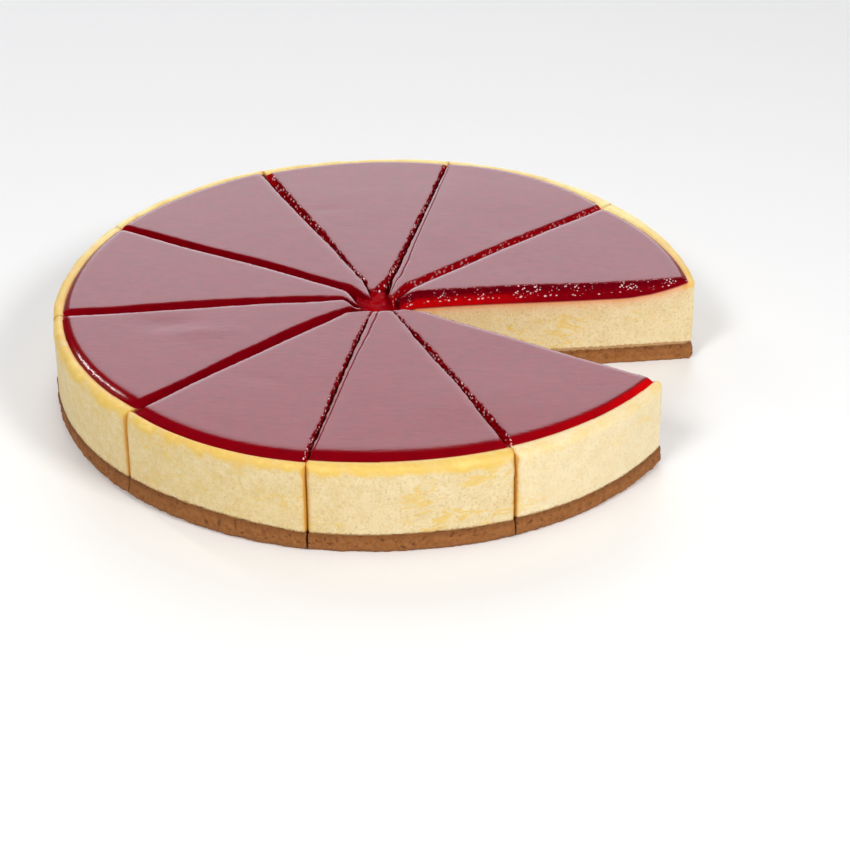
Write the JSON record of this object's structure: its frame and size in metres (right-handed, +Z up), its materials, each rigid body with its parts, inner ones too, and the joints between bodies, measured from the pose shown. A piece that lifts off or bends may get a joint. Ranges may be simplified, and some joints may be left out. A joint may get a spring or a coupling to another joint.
{
  "type": "raspberry cheesecake",
  "caption": "Round baked cheesecake with a biscuit crumb crust and a raspberry jelly glaze, cut into slices with one slice taken out.",
  "frame": {"origin": "under the middle of the cake, on the surface that it rests on", "axes": "+Z up, through the cake's thickness; the missing slice lies towards +X and a little towards -Y"},
  "size_m": [0.2391, 0.2393, 0.0346],
  "materials": {
    "biscuit_crumb": "rough, crumbly baked biscuit",
    "baked_cream": "soft, fine-pored baked cream, yellow along the rim",
    "raspberry_jelly": "glossy translucent jelly"
  },
  "bodies": {
    "root": {"slice_1_crust": "biscuit_crumb", "slice_1_filling": "baked_cream", "slice_1_glaze": "raspberry_jelly", "slice_2_crust": "biscuit_crumb", "slice_2_filling": "baked_cream", "slice_2_glaze": "raspberry_jelly", "slice_3_crust": "biscuit_crumb", "slice_3_filling": "baked_cream", "slice_3_glaze": "raspberry_jelly", "slice_4_crust": "biscuit_crumb", "slice_4_filling": "baked_cream", "slice_4_glaze": "raspberry_jelly", "slice_6_crust": "biscuit_crumb", "slice_6_filling": "baked_cream", "slice_6_glaze": "raspberry_jelly", "slice_7_crust": "biscuit_crumb", "slice_7_filling": "baked_cream", "slice_7_glaze": "raspberry_jelly", "slice_8_crust": "biscuit_crumb", "slice_8_filling": "baked_cream", "slice_8_glaze": "raspberry_jelly", "slice_9_crust": "biscuit_crumb", "slice_9_filling": "baked_cream", "slice_9_glaze": "raspberry_jelly", "slice_10_crust": "biscuit_crumb", "slice_10_filling": "baked_cream", "slice_10_glaze": "raspberry_jelly", "centre_jelly": "raspberry_jelly"}
  },
  "joints": []
}
